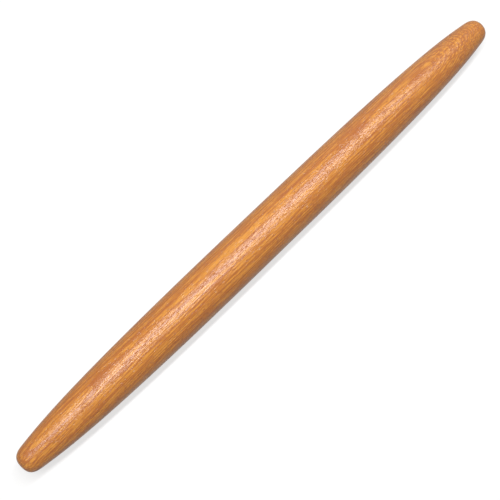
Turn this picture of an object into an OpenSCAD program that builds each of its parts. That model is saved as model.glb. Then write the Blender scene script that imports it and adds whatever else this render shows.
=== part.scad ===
// French rolling pin: one plain rod of beech, turned all over in one piece. It is thickest at a short
// straight belly in the middle, and from there each side runs in one long curve down to a rounded tip.
// The pin lies along X with its middle at the origin, and Z is up.

/* [Pin] */
// Length from tip to tip
pin_length = 508; // [440:1:640]
// Diameter of the belly, the thickest part
belly_d = 38.1; // [30:0.1:52]
// Length of the straight belly, which is turned to one diameter
belly_length = 60; // [20:1:100]

/* [Taper] */
// Diameter that each taper comes down to at the tip, before the tip is rounded
tip_d = 20.2; // [14:0.1:28]
// How far the line of the belly draws the start of the taper along with it
belly_pull = 200; // [60:1:220]
// How far the slope at the tip draws the end of the taper along with it
tip_pull = 22; // [5:1:80]
// Angle between the side of the taper and the axis at the tip, in degrees
tip_slope = 2; // [0:0.1:10]

/* [Tips] */
// Length of the rounding at each tip
rounding_length = 11.4; // [4:0.1:20]
// Bluntness of the rounding: 2 is half an ellipse, and more is squarer with a flatter end
bluntness = 2.9; // [2:0.1:5]

/* [Hidden] */

half_length = pin_length / 2;
belly_r = belly_d / 2;
tip_r = tip_d / 2;
taper_start = belly_length / 2;
beech = [0.85, 0.56, 0.28];

// Faces around the pin
round_faces = 96;
// Points along each taper and along each rounding
taper_steps = 28;
rounding_steps = 14;

// The taper is a cubic Bezier curve in the plane of distance from the middle and radius: it leaves
// the belly along the belly's own line and reaches the tip at the tip's slope.
taper_curve = [
    [taper_start, belly_r],
    [taper_start + belly_pull, belly_r],
    [half_length - tip_pull, tip_r + tip_pull * tan(tip_slope)],
    [half_length, tip_r]
];

// Point on the taper's curve at t, from 0 at the belly to 1 at the tip
function bezier(p, t) =
    p[0] * (1 - t)^3 + 3 * p[1] * t * (1 - t)^2 + 3 * p[2] * t^2 * (1 - t) + p[3] * t^3;

// Share of the taper's radius that the rounding leaves at a distance from the middle
function rounding(distance) =
    let (into_tip = max(0, (distance - (half_length - rounding_length)) / rounding_length))
    (1 - min(1, into_tip)^bluntness)^(1 / bluntness);

// Taper's radius at a distance from the middle, with t found by halving its interval
function taper_radius(distance, low = 0, high = 1, halvings = 24) =
    let (middle = (low + high) / 2, point = bezier(taper_curve, middle))
    halvings == 0 ? point[1]
    : point[0] < distance ? taper_radius(distance, middle, high, halvings - 1)
    : taper_radius(distance, low, middle, halvings - 1);

// Distances from the middle at which the turned outline has a point, from the belly to the tip:
// even steps along the taper, then steps that close up towards the tip
rounding_start = half_length - rounding_length;
stations = concat(
    [for (i = [0 : taper_steps - 1]) taper_start + (rounding_start - taper_start) * i / taper_steps],
    [for (i = [0 : rounding_steps - 1]) rounding_start + rounding_length * sin(90 * i / rounding_steps)]
);

// Outline of the half of the pin from the belly to the tip, as radius and distance from the middle
half_outline = [for (distance = stations) [taper_radius(distance) * rounding(distance), distance]];

module rolling_pin() {
    color(beech)
        rotate([0, 90, 0])
            rotate_extrude($fn = round_faces)
                polygon(concat(
                    [[0, half_length]],
                    [for (i = [len(half_outline) - 1 : -1 : 0]) half_outline[i]],
                    [for (point = half_outline) [point[0], -point[1]]],
                    [[0, -half_length]]
                ));
}

rolling_pin();
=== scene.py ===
import math

import bpy
from mathutils import Matrix, Vector


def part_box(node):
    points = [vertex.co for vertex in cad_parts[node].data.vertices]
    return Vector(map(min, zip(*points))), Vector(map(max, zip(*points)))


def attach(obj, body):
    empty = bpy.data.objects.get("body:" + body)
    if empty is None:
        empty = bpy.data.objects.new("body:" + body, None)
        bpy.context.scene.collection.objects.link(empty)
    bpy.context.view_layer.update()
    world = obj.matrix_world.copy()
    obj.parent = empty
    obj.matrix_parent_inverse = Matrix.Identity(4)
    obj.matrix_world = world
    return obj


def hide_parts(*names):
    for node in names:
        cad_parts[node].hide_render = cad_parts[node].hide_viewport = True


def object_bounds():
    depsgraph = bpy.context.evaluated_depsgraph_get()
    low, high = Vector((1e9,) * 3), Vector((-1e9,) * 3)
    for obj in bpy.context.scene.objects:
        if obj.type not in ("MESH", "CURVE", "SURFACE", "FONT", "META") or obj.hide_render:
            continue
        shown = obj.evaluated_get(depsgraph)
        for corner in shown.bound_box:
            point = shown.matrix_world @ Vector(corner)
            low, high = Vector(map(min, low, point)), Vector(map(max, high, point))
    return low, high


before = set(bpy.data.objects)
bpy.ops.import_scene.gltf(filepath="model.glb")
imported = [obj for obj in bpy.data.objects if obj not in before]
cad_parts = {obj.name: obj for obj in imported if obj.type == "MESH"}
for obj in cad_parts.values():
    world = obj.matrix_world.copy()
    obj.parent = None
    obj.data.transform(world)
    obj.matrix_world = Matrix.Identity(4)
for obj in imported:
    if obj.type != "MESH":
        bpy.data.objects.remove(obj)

# Lengths are in metres, and the pin lies along X with its middle at the origin, as in the frame.
MM = 0.001

cad_low, cad_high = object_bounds()
pin_low, pin_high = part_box("rolling_pin")

# Sizes of the pin. Its length comes from the frame, and the rest is as it was turned.
PIN_LENGTH = pin_high.x - pin_low.x
BELLY_RADIUS = 19.05 * MM
BELLY_LENGTH = 60 * MM
TIP_RADIUS = 10.1 * MM
BELLY_PULL = 200 * MM
TIP_PULL = 22 * MM
TIP_SLOPE = math.radians(2)
ROUNDING_LENGTH = 11.4 * MM
BLUNTNESS = 2.9

# What sanding takes off at most, the lengths over which it varies, and the seed of its noise
SANDING_DEPTH = 0.035 * MM
SANDING_LENGTHS = (45 * MM, 22 * MM, 22 * MM)
SANDING_SEED = 7

# Rings of the pin's mesh along its length, how much they crowd towards the tips, and sides round it
RINGS = 321
CROWDING = 2.2
SIDES = 144

# Where the photograph was taken from: the camera's turn round the pin and its height above the
# horizon, the pin's middle seen from the camera, and the lens.
CAMERA_AZIMUTH = math.radians(-45.15)
CAMERA_ELEVATION = math.radians(72.94)
PIN_RIGHT_OF_VIEW = 14.27 * MM
PIN_ABOVE_VIEW = 15.87 * MM
PIN_AWAY = 684.0 * MM
FOCAL_PIXELS = 875.05
PICTURE_PIXELS = 500
SENSOR_MM = 36.0


def linear(hex_colour):
    """Turns an sRGB hex value into the linear colour that a socket takes."""
    channels = [int(hex_colour[i:i + 2], 16) / 255 for i in (1, 3, 5)]
    curve = [c / 12.92 if c <= 0.04045 else ((c + 0.055) / 1.055) ** 2.4 for c in channels]
    return (*curve, 1.0)


def per_length(lengths):
    """Turns the lengths over which a pattern repeats into the scales that a noise takes."""
    return tuple(1 / length for length in lengths)


def add(tree, kind, inputs=None, **settings):
    """Adds a node, sets what it does and feeds its inputs, each from a value or another output."""
    made = tree.nodes.new(kind)
    for name, value in settings.items():
        setattr(made, name, value)
    for socket, value in (inputs or {}).items():
        target = made.inputs[socket]
        if isinstance(value, bpy.types.NodeSocket):
            tree.links.new(value, target)
        else:
            target.default_value = value
    return made


# Beech

# Direction of the bark: the flat-sawn face of the billet, turned about X from straight up
BARK_TURN = math.radians(12.2)
# Distance from the pin's axis to the heart of the tree, and one year's growth
HEART_DEPTH_MM = 95
RING_MM = 1.25
# Where the grain starts to fall away with the taper and how fast, per millimetre squared
FALL_START_MM = 80
FALL_CURVE = -3.3e-4
# Where it rises again towards the +X tip, and how fast
RISE_START_MM = 172
RISE_CURVE = 3.2e-3
# How far the grain wanders, and over which lengths
WANDER_MM = (0, 2.4, 1.2)
WANDER_LENGTHS_MM = (150, 35, 35)
# Width of the bands of good and poor years
YEARS_MM = 4.2
# Sizes of the figure along the grain, round the heart of the tree and out from it
STREAK_MM = (130, 2.2, 2.2)
FIBRE_MM = (18, 0.8, 0.8)
RAY_MM = (4.5, 1.3, 9)
PORE_MM = (5.5, 1.0, 1.0)
RIPPLE_MM = (2.6, 1.4, 1.4)
# Place in the noise that the streaks are read from, so that they fall much as in the photograph
STREAK_PLACE = 13
# Depth of the relief, a few times what sanding leaves, so that it shows at arm's length
RELIEF_DEPTH = 0.24 * MM

PALE_WOOD = "#D58D28"
MIDDLE_WOOD = "#BF7415"
DARK_WOOD = "#A85B08"
RAY_END = "#A0560E"
OPEN_PORE = "#9E561C"
END_GRAIN = "#B56522"
# The wood's own sheen under the coat is a little warm
SHEEN = "#FFE6CC"


def beech_material():
    """Steamed beech, turned, sanded along the grain and sealed with a thin clear satin coat.

    The eye sees orange brown wood with long soft streaks, growth rings that close in loops where the
    taper cuts them, short dark flecks where the rays end, and a broken satin sheen along the top.
    """
    material = bpy.data.materials.new("steamed_beech_satin_lacquer")
    material.use_nodes = True
    tree = material.node_tree
    tree.nodes.clear()

    # The billet in millimetres: X along the grain, Z towards the bark, Y along the rings
    place = add(tree, "ShaderNodeTexCoord")
    billet = add(tree, "ShaderNodeMapping", {
        "Vector": place.outputs["Object"],
        "Rotation": (BARK_TURN, 0, 0),
        "Scale": (1000, 1000, 1000),
    })
    split = add(tree, "ShaderNodeSeparateXYZ", {0: billet.outputs[0]})
    x = split.outputs[0]

    # The stem isn't straight. Away from the middle the grain falls away with the taper, and near the
    # +X tip it rises again, so that the taper cuts across the rings there
    out = add(tree, "ShaderNodeMath", {0: x}, operation="ABSOLUTE")
    past = add(tree, "ShaderNodeMath", {0: out.outputs[0], 1: FALL_START_MM}, operation="SUBTRACT")
    run = add(tree, "ShaderNodeMath", {0: past.outputs[0], 1: 0}, operation="MAXIMUM")
    run_squared = add(tree, "ShaderNodeMath", {0: run.outputs[0], 1: 2}, operation="POWER")
    fall = add(tree, "ShaderNodeMath", {0: run_squared.outputs[0], 1: FALL_CURVE},
               operation="MULTIPLY")
    tip = add(tree, "ShaderNodeMath", {0: x, 1: RISE_START_MM}, operation="SUBTRACT")
    tip_run = add(tree, "ShaderNodeMath", {0: tip.outputs[0], 1: 0}, operation="MAXIMUM")
    tip_squared = add(tree, "ShaderNodeMath", {0: tip_run.outputs[0], 1: 2}, operation="POWER")
    sweep = add(tree, "ShaderNodeMath", {0: tip_squared.outputs[0], 1: RISE_CURVE, 2: fall.outputs[0]},
                operation="MULTIPLY_ADD")

    # The grain also wanders by a millimetre or two over a hand's width
    wander_at = add(tree, "ShaderNodeVectorMath", {0: billet.outputs[0], 1: per_length(WANDER_LENGTHS_MM)},
                    operation="MULTIPLY")
    wander = add(tree, "ShaderNodeTexNoise", {"Vector": wander_at.outputs[0], "Scale": 1, "Detail": 2})
    wander_mm = add(tree, "ShaderNodeVectorMath", {0: wander.outputs["Color"], 1: WANDER_MM},
                    operation="MULTIPLY")
    bent = add(tree, "ShaderNodeCombineXYZ", {2: sweep.outputs[0]})
    moved = add(tree, "ShaderNodeVectorMath", {0: wander_mm.outputs[0], 1: bent.outputs[0]})
    grain = add(tree, "ShaderNodeVectorMath", {0: billet.outputs[0], 1: moved.outputs[0]},
                operation="SUBTRACT")
    grain_parts = add(tree, "ShaderNodeSeparateXYZ", {0: grain.outputs[0]})

    # Distance from the heart of the tree, and distance round it
    from_heart = add(tree, "ShaderNodeMath", {0: grain_parts.outputs[2], 1: HEART_DEPTH_MM})
    heart_arm = add(tree, "ShaderNodeCombineXYZ", {0: 0, 1: grain_parts.outputs[1], 2: from_heart.outputs[0]})
    growth = add(tree, "ShaderNodeVectorMath", {0: heart_arm.outputs[0]}, operation="LENGTH")
    turn = add(tree, "ShaderNodeMath", {0: grain_parts.outputs[1], 1: from_heart.outputs[0]},
               operation="ARCTAN2")
    round_heart = add(tree, "ShaderNodeMath", {0: turn.outputs[0], 1: HEART_DEPTH_MM}, operation="MULTIPLY")
    log = add(tree, "ShaderNodeCombineXYZ", {
        0: grain_parts.outputs[0],
        1: round_heart.outputs[0],
        2: growth.outputs["Value"],
    })

    # Good and poor years: soft bands a few millimetres wide that follow the rings
    years = add(tree, "ShaderNodeTexNoise", {
        "W": growth.outputs["Value"], "Scale": 1 / YEARS_MM, "Detail": 3, "Roughness": 0.62,
    }, noise_dimensions="1D")

    # One darker line of late wood at the end of each year
    year = add(tree, "ShaderNodeMath", {0: growth.outputs["Value"], 1: 1 / RING_MM, 2: years.outputs[0]},
               operation="MULTIPLY_ADD")
    season = add(tree, "ShaderNodeMath", {0: year.outputs[0]}, operation="FRACT")
    late_wood = add(tree, "ShaderNodeMapRange", {0: season.outputs[0], 1: 0.35, 2: 1.0},
                    interpolation_type="SMOOTHSTEP")

    # Long streaks, 2 mm across and 130 mm along, and fibres, drawn coarse at 0.8 mm so that they show
    streak_at = add(tree, "ShaderNodeVectorMath", {
        0: log.outputs[0], 1: per_length(STREAK_MM), 2: (0, STREAK_PLACE, 0),
    }, operation="MULTIPLY_ADD")
    streaks = add(tree, "ShaderNodeTexNoise", {
        "Vector": streak_at.outputs[0], "Scale": 1, "Detail": 5, "Roughness": 0.68,
    })
    fibre_at = add(tree, "ShaderNodeVectorMath", {0: log.outputs[0], 1: per_length(FIBRE_MM)},
                   operation="MULTIPLY")
    fibres = add(tree, "ShaderNodeTexNoise", {
        "Vector": fibre_at.outputs[0], "Scale": 1, "Detail": 3, "Roughness": 0.7,
    })

    # Rays: thin sheets that run out from the heart. Cut across, each is a dark fleck along the grain
    ray_at = add(tree, "ShaderNodeVectorMath", {0: log.outputs[0], 1: per_length(RAY_MM)},
                 operation="MULTIPLY")
    rays = add(tree, "ShaderNodeTexVoronoi", {"Vector": ray_at.outputs[0], "Scale": 1})
    ray_fleck = add(tree, "ShaderNodeMapRange", {0: rays.outputs["Distance"], 1: 0.42, 2: 0.14},
                    interpolation_type="SMOOTHSTEP")
    ray_pick = add(tree, "ShaderNodeSeparateColor", {0: rays.outputs["Color"]})
    ray_share = add(tree, "ShaderNodeMath", {0: ray_pick.outputs[0], 1: 0.85}, operation="MULTIPLY")
    ray_depth = add(tree, "ShaderNodeMath", {0: ray_fleck.outputs[0], 1: ray_share.outputs[0]},
                    operation="MULTIPLY")

    # Pores: fine grooves a few millimetres long, drawn coarse at 0.4 mm wide so that they show
    pore_at = add(tree, "ShaderNodeVectorMath", {0: log.outputs[0], 1: per_length(PORE_MM)},
                  operation="MULTIPLY")
    pores = add(tree, "ShaderNodeTexVoronoi", {"Vector": pore_at.outputs[0], "Scale": 1})
    pore = add(tree, "ShaderNodeMapRange", {0: pores.outputs["Distance"], 1: 0.38, 2: 0.14},
               interpolation_type="SMOOTHSTEP")

    # Tone of the wood, from pale to dark
    tone_a = add(tree, "ShaderNodeMath", {0: late_wood.outputs[0], 1: 0.4, 2: -1.8},
                 operation="MULTIPLY_ADD")
    tone_b = add(tree, "ShaderNodeMath", {0: fibres.outputs[0], 1: 2.6, 2: tone_a.outputs[0]},
                 operation="MULTIPLY_ADD")
    tone_c = add(tree, "ShaderNodeMath", {0: years.outputs[0], 1: 0.3, 2: tone_b.outputs[0]},
                 operation="MULTIPLY_ADD")
    tone = add(tree, "ShaderNodeMath", {0: streaks.outputs[0], 1: 1.6, 2: tone_c.outputs[0]},
               operation="MULTIPLY_ADD")
    wood = add(tree, "ShaderNodeValToRGB", {0: tone.outputs[0]})
    stops = wood.color_ramp.elements
    stops[0].position = 0.2
    stops[0].color = linear(PALE_WOOD)
    stops[1].position = 0.8
    stops[1].color = linear(DARK_WOOD)
    middle = stops.new(0.5)
    middle.color = linear(MIDDLE_WOOD)

    # Flecks and pores are darker and redder than the wood round them
    flecked = add(tree, "ShaderNodeMix", {
        0: ray_depth.outputs[0], 6: wood.outputs[0], 7: linear(RAY_END),
    }, data_type="RGBA")
    pore_depth = add(tree, "ShaderNodeMath", {0: pore.outputs[0], 1: 0.4}, operation="MULTIPLY")
    pored = add(tree, "ShaderNodeMix", {
        0: pore_depth.outputs[0], 6: flecked.outputs[2], 7: linear(OPEN_PORE),
    }, data_type="RGBA")

    # End grain drinks the finish and is darker: where the surface faces along the grain
    facing = add(tree, "ShaderNodeSeparateXYZ", {0: place.outputs["Normal"]})
    end_on = add(tree, "ShaderNodeMath", {0: facing.outputs[0]}, operation="ABSOLUTE")
    end_grain = add(tree, "ShaderNodeMapRange", {0: end_on.outputs[0], 1: 0.55, 2: 0.98, 4: 0.55},
                    interpolation_type="SMOOTHSTEP")
    colour = add(tree, "ShaderNodeMix", {
        0: end_grain.outputs[0], 6: pored.outputs[2], 7: linear(END_GRAIN),
    }, data_type="RGBA")

    # Relief left by sanding: raised fibres and streaks, open pores, and a ripple a millimetre or two
    # across that breaks up the sheen
    ripple_at = add(tree, "ShaderNodeVectorMath", {0: log.outputs[0], 1: per_length(RIPPLE_MM)},
                    operation="MULTIPLY")
    ripple = add(tree, "ShaderNodeTexNoise", {"Vector": ripple_at.outputs[0], "Scale": 1, "Detail": 2})
    relief_a = add(tree, "ShaderNodeMath", {0: fibres.outputs[0], 1: 0.9, 2: ripple.outputs[0]},
                   operation="MULTIPLY_ADD")
    relief_b = add(tree, "ShaderNodeMath", {0: streaks.outputs[0], 1: 0.8, 2: relief_a.outputs[0]},
                   operation="MULTIPLY_ADD")
    relief = add(tree, "ShaderNodeMath", {0: pore.outputs[0], 1: -0.5, 2: relief_b.outputs[0]},
                 operation="MULTIPLY_ADD")
    bump = add(tree, "ShaderNodeBump", {
        "Height": relief.outputs[0], "Strength": 1.0, "Distance": RELIEF_DEPTH,
    })
    rough = add(tree, "ShaderNodeMapRange", {0: tone.outputs[0], 1: 0.1, 2: 0.9, 3: 0.42, 4: 0.52})
    surface = add(tree, "ShaderNodeBsdfPrincipled", {
        "Base Color": colour.outputs[2],
        "Roughness": rough.outputs[0],
        "IOR": 1.5,
        "Specular IOR Level": 0.2,
        "Specular Tint": linear(SHEEN),
        "Normal": bump.outputs[0],
        "Coat Weight": 1.0,
        "Coat Roughness": 0.3,
        "Coat IOR": 1.59,
        "Coat Normal": bump.outputs[0],
    })
    add(tree, "ShaderNodeOutputMaterial", {0: surface.outputs[0]})
    return material


def turning_tree():
    """Geometry nodes that turn the pin: a line along X, given the taper's radius at each point and
    swept with a circle."""
    tree = bpy.data.node_groups.new("turned_taper", "GeometryNodeTree")
    tree.interface.new_socket("Blank", in_out="INPUT", socket_type="NodeSocketGeometry")
    sizes = {
        "Half Length": PIN_LENGTH / 2,
        "Belly Radius": BELLY_RADIUS,
        "Half Belly": BELLY_LENGTH / 2,
        "Tip Radius": TIP_RADIUS,
        "Belly Pull": BELLY_PULL,
        "Tip Pull": TIP_PULL,
        "Tip Rise": TIP_PULL * math.tan(TIP_SLOPE),
        "Rounding Length": ROUNDING_LENGTH,
        "Bluntness": BLUNTNESS,
        "Sanding Depth": SANDING_DEPTH,
    }
    for name in sizes:
        tree.interface.new_socket(name, in_out="INPUT", socket_type="NodeSocketFloat")
    for name in ("Rings", "Sides", "Seed"):
        tree.interface.new_socket(name, in_out="INPUT", socket_type="NodeSocketInt")
    tree.interface.new_socket("Finish", in_out="INPUT", socket_type="NodeSocketMaterial")
    tree.interface.new_socket("Pin", in_out="OUTPUT", socket_type="NodeSocketGeometry")
    given = add(tree, "NodeGroupInput").outputs

    # Each ring's place from -1 at one tip to 1 at the other
    index = add(tree, "GeometryNodeInputIndex")
    last = add(tree, "ShaderNodeMath", {0: given["Rings"], 1: 1}, operation="SUBTRACT")
    share = add(tree, "ShaderNodeMath", {0: index.outputs[0], 1: last.outputs[0]}, operation="DIVIDE")
    along = add(tree, "ShaderNodeMath", {0: share.outputs[0], 1: 2, 2: -1}, operation="MULTIPLY_ADD")
    side = add(tree, "ShaderNodeMath", {0: along.outputs[0]}, operation="SIGN")
    out = add(tree, "ShaderNodeMath", {0: along.outputs[0]}, operation="ABSOLUTE")

    # Rings close up towards the tip, where the outline bends most
    left = add(tree, "ShaderNodeMath", {0: 1, 1: out.outputs[0]}, operation="SUBTRACT")
    left_shaped = add(tree, "ShaderNodeMath", {0: left.outputs[0], 1: CROWDING}, operation="POWER")
    t = add(tree, "ShaderNodeMath", {0: 1, 1: left_shaped.outputs[0]}, operation="SUBTRACT")

    # The taper: a cubic Bezier curve of distance from the middle (X) and radius (Y)
    pulled = add(tree, "ShaderNodeMath", {0: given["Half Belly"], 1: given["Belly Pull"]})
    before_tip = add(tree, "ShaderNodeMath", {0: given["Half Length"], 1: given["Tip Pull"]},
                     operation="SUBTRACT")
    rise = add(tree, "ShaderNodeMath", {0: given["Tip Radius"], 1: given["Tip Rise"]})
    row = [
        add(tree, "ShaderNodeCombineXYZ", {0: distance, 1: radius}).outputs[0]
        for distance, radius in (
            (given["Half Belly"], given["Belly Radius"]),
            (pulled.outputs[0], given["Belly Radius"]),
            (before_tip.outputs[0], rise.outputs[0]),
            (given["Half Length"], given["Tip Radius"]),
        )
    ]
    while len(row) > 1:
        row = [
            add(tree, "ShaderNodeMix", {0: t.outputs[0], 4: a, 5: b}, data_type="VECTOR").outputs[1]
            for a, b in zip(row, row[1:])
        ]
    station = add(tree, "ShaderNodeSeparateXYZ", {0: row[0]})
    distance, radius = station.outputs[0], station.outputs[1]

    # The tip's rounding, a superellipse that takes the radius down to nothing
    rounding_start = add(tree, "ShaderNodeMath", {0: given["Half Length"], 1: given["Rounding Length"]},
                         operation="SUBTRACT")
    past = add(tree, "ShaderNodeMath", {0: distance, 1: rounding_start.outputs[0]}, operation="SUBTRACT")
    into = add(tree, "ShaderNodeMath", {0: past.outputs[0], 1: given["Rounding Length"]},
               operation="DIVIDE", use_clamp=True)
    raised = add(tree, "ShaderNodeMath", {0: into.outputs[0], 1: given["Bluntness"]}, operation="POWER")
    spare = add(tree, "ShaderNodeMath", {0: 1, 1: raised.outputs[0]}, operation="SUBTRACT", use_clamp=True)
    root = add(tree, "ShaderNodeMath", {0: 1, 1: given["Bluntness"]}, operation="DIVIDE")
    rounding = add(tree, "ShaderNodeMath", {0: spare.outputs[0], 1: root.outputs[0]}, operation="POWER")
    turned = add(tree, "ShaderNodeMath", {0: radius, 1: rounding.outputs[0]}, operation="MULTIPLY")

    # The line between the lathe's centres, with a point for each ring, swept with a circle
    placed = add(tree, "ShaderNodeMath", {0: side.outputs[0], 1: distance}, operation="MULTIPLY")
    spot = add(tree, "ShaderNodeCombineXYZ", {0: placed.outputs[0]})
    centre_line = add(tree, "GeometryNodeCurvePrimitiveLine", {0: (-1, 0, 0), 1: (1, 0, 0)})
    points = add(tree, "GeometryNodeResampleCurve", {
        "Curve": centre_line.outputs[0], "Count": given["Rings"],
    })
    spaced = add(tree, "GeometryNodeSetPosition", {
        "Geometry": points.outputs[0], "Position": spot.outputs[0],
    })
    circle = add(tree, "GeometryNodeCurvePrimitiveCircle", {"Resolution": given["Sides"], "Radius": 1})
    swept = add(tree, "GeometryNodeCurveToMesh", {
        "Curve": spaced.outputs[0], "Profile Curve": circle.outputs[0], "Scale": turned.outputs[0],
    })
    closed = add(tree, "GeometryNodeMergeByDistance", {0: swept.outputs[0], "Distance": 0.002 * MM})

    # Sanding leaves the surface a few hundredths of a millimetre out of true, always inwards, so that
    # the pin stays inside its turned shape
    where = add(tree, "GeometryNodeInputPosition")
    seed_at = add(tree, "ShaderNodeCombineXYZ", {1: given["Seed"]})
    sanded_at = add(tree, "ShaderNodeVectorMath", {
        0: where.outputs[0], 1: per_length(SANDING_LENGTHS), 2: seed_at.outputs[0],
    }, operation="MULTIPLY_ADD")
    sanding = add(tree, "ShaderNodeTexNoise", {"Vector": sanded_at.outputs[0], "Scale": 1, "Detail": 1})
    inwards = add(tree, "ShaderNodeMath", {0: sanding.outputs[0], 1: 1}, operation="SUBTRACT")
    depth = add(tree, "ShaderNodeMath", {0: inwards.outputs[0], 1: given["Sanding Depth"]},
                operation="MULTIPLY")
    normal = add(tree, "GeometryNodeInputNormal")
    nudge = add(tree, "ShaderNodeVectorMath", {0: normal.outputs[0], "Scale": depth.outputs[0]},
                operation="SCALE")
    sanded = add(tree, "GeometryNodeSetPosition", {"Geometry": closed.outputs[0], "Offset": nudge.outputs[0]})
    smooth = add(tree, "GeometryNodeSetShadeSmooth", {0: sanded.outputs[0]})
    real = add(tree, "GeometryNodeRealizeInstances", {0: smooth.outputs[0]})
    finished = add(tree, "GeometryNodeSetMaterial", {0: real.outputs[0], "Material": given["Finish"]})
    add(tree, "NodeGroupOutput", {0: finished.outputs[0]})
    return tree, sizes


def turned_pin(material):
    """The pin itself: the tree's result as a plain mesh at the origin."""
    tree, sizes = turning_tree()
    maker = bpy.data.objects.new("lathe", bpy.data.meshes.new("lathe"))
    bpy.context.collection.objects.link(maker)
    modifier = maker.modifiers.new("turning", "NODES")
    modifier.node_group = tree
    values = {**sizes, "Rings": RINGS, "Sides": SIDES, "Seed": SANDING_SEED, "Finish": material}
    for item in tree.interface.items_tree:
        if item.item_type == "SOCKET" and item.name in values:
            modifier[item.identifier] = values[item.name]
    evaluated = maker.evaluated_get(bpy.context.evaluated_depsgraph_get())
    mesh = bpy.data.meshes.new_from_object(evaluated)
    mesh.name = "turned_rolling_pin"
    bpy.data.objects.remove(maker)
    pin = bpy.data.objects.new("turned_rolling_pin", mesh)
    bpy.context.collection.objects.link(pin)
    return pin


pin = turned_pin(beech_material())
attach(pin, "root")
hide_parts("rolling_pin")


# Stage

# The floor reaches far out, so that a low view shows no edge
FLOOR_SIZE = 60.0
# The paper as the pin's light meets it, and as the camera sees it
PAPER = "#AFAFAF"
SEEN_PAPER = "#959595"
# Light added to the paper that the camera sees: near the pin, and far from it
NEAR_LIFT = 0.7
FAR_LIFT = 0.93
LIFT_START = 0.3
LIFT_END = 1.7
# Strength of the even light from all round. To the camera and in reflections the world is white
ROUND_LIGHT = 0.16
WHITE = 1.0


def pale_stage_material(name):
    """Matt white paper. The camera sees it lifted towards white, and the shadow stays on it."""
    material = bpy.data.materials.new(name)
    material.use_nodes = True
    tree = material.node_tree
    tree.nodes.clear()
    path = add(tree, "ShaderNodeLightPath")
    paper = add(tree, "ShaderNodeBsdfDiffuse", {"Color": linear(PAPER)})

    # The lift grows outwards as the key light fades, so that the floor ends as white as the world
    place = add(tree, "ShaderNodeTexCoord")
    away = add(tree, "ShaderNodeVectorMath", {0: place.outputs["Object"]}, operation="LENGTH")
    strength = add(tree, "ShaderNodeMapRange", {
        0: away.outputs["Value"], 1: LIFT_START, 2: LIFT_END, 3: NEAR_LIFT, 4: FAR_LIFT,
    }, interpolation_type="SMOOTHSTEP")
    glow = add(tree, "ShaderNodeEmission", {"Color": (1, 1, 1, 1), "Strength": strength.outputs[0]})
    seen_paper = add(tree, "ShaderNodeBsdfDiffuse", {"Color": linear(SEEN_PAPER)})
    seen = add(tree, "ShaderNodeAddShader", {0: seen_paper.outputs[0], 1: glow.outputs[0]})
    mixed = add(tree, "ShaderNodeMixShader", {
        0: path.outputs["Is Camera Ray"], 1: paper.outputs[0], 2: seen.outputs[0],
    })
    add(tree, "ShaderNodeOutputMaterial", {0: mixed.outputs[0]})
    return material


def floor():
    """A plain pale floor that the pin's belly rests on."""
    half = FLOOR_SIZE / 2
    mesh = bpy.data.meshes.new("floor")
    corners = [(-half, -half), (half, -half), (half, half), (-half, half)]
    mesh.from_pydata([(x, y, cad_low.z) for x, y in corners], [], [(0, 1, 2, 3)])
    mesh.materials.append(pale_stage_material("white_paper"))
    made = bpy.data.objects.new("floor", mesh)
    bpy.context.collection.objects.link(made)


def softbox(name, place, aim, size, power):
    """A rectangular studio softbox at place, turned to aim, with its first side along the pin."""
    light = bpy.data.lights.new(name, "AREA")
    light.shape = "RECTANGLE"
    light.size, light.size_y = size
    light.energy = power
    made = bpy.data.objects.new(name, light)
    back = (Vector(place) - Vector(aim)).normalized()
    across = back.cross(Vector((1, 0, 0))).normalized()
    made.matrix_world = Matrix((across.cross(back), across, back)).transposed().to_4x4()
    made.location = place
    bpy.context.collection.objects.link(made)


def surroundings():
    """A white studio: even soft light, and plain white to the camera and in reflections."""
    world = bpy.data.worlds.new("white_studio")
    bpy.context.scene.world = world
    world.use_nodes = True
    tree = world.node_tree
    tree.nodes.clear()
    path = add(tree, "ShaderNodeLightPath")
    seen = add(tree, "ShaderNodeMath", {0: path.outputs["Is Camera Ray"], 1: path.outputs["Is Glossy Ray"]},
               operation="MAXIMUM")
    plain = add(tree, "ShaderNodeMath", {0: seen.outputs[0], 1: path.outputs["Is Transmission Ray"]},
                operation="MAXIMUM")
    strength = add(tree, "ShaderNodeMapRange", {0: plain.outputs[0], 3: ROUND_LIGHT, 4: WHITE})
    sky = add(tree, "ShaderNodeBackground", {0: (1, 1, 1, 1), 1: strength.outputs[0]})
    add(tree, "ShaderNodeOutputWorld", {0: sky.outputs[0]})


def camera():
    """The camera of the photograph."""
    a, e = CAMERA_AZIMUTH, CAMERA_ELEVATION
    right = Vector((math.cos(a), math.sin(a), 0))
    up = Vector((-math.sin(a) * math.sin(e), math.cos(a) * math.sin(e), math.cos(e)))
    back = right.cross(up)
    data = bpy.data.cameras.new("camera")
    data.sensor_width = SENSOR_MM
    data.lens = FOCAL_PIXELS / PICTURE_PIXELS * SENSOR_MM
    data.clip_start = 0.01
    made = bpy.data.objects.new("camera", data)
    made.matrix_world = Matrix((right, up, back)).transposed().to_4x4()
    made.location = back * PIN_AWAY - right * PIN_RIGHT_OF_VIEW - up * PIN_ABOVE_VIEW
    bpy.context.collection.objects.link(made)
    bpy.context.scene.camera = made


floor()
surroundings()
softbox("key_softbox", place=(0.05, 0.04, 1.0), aim=(0, 0, 0), size=(1.35, 0.1), power=14.2)
softbox("fill_softbox", place=(0.6, 1.1, 0.5), aim=(0.1, 0, 0), size=(1.2, 0.9), power=0.9)
camera()
bpy.context.scene.view_settings.view_transform = "Standard"
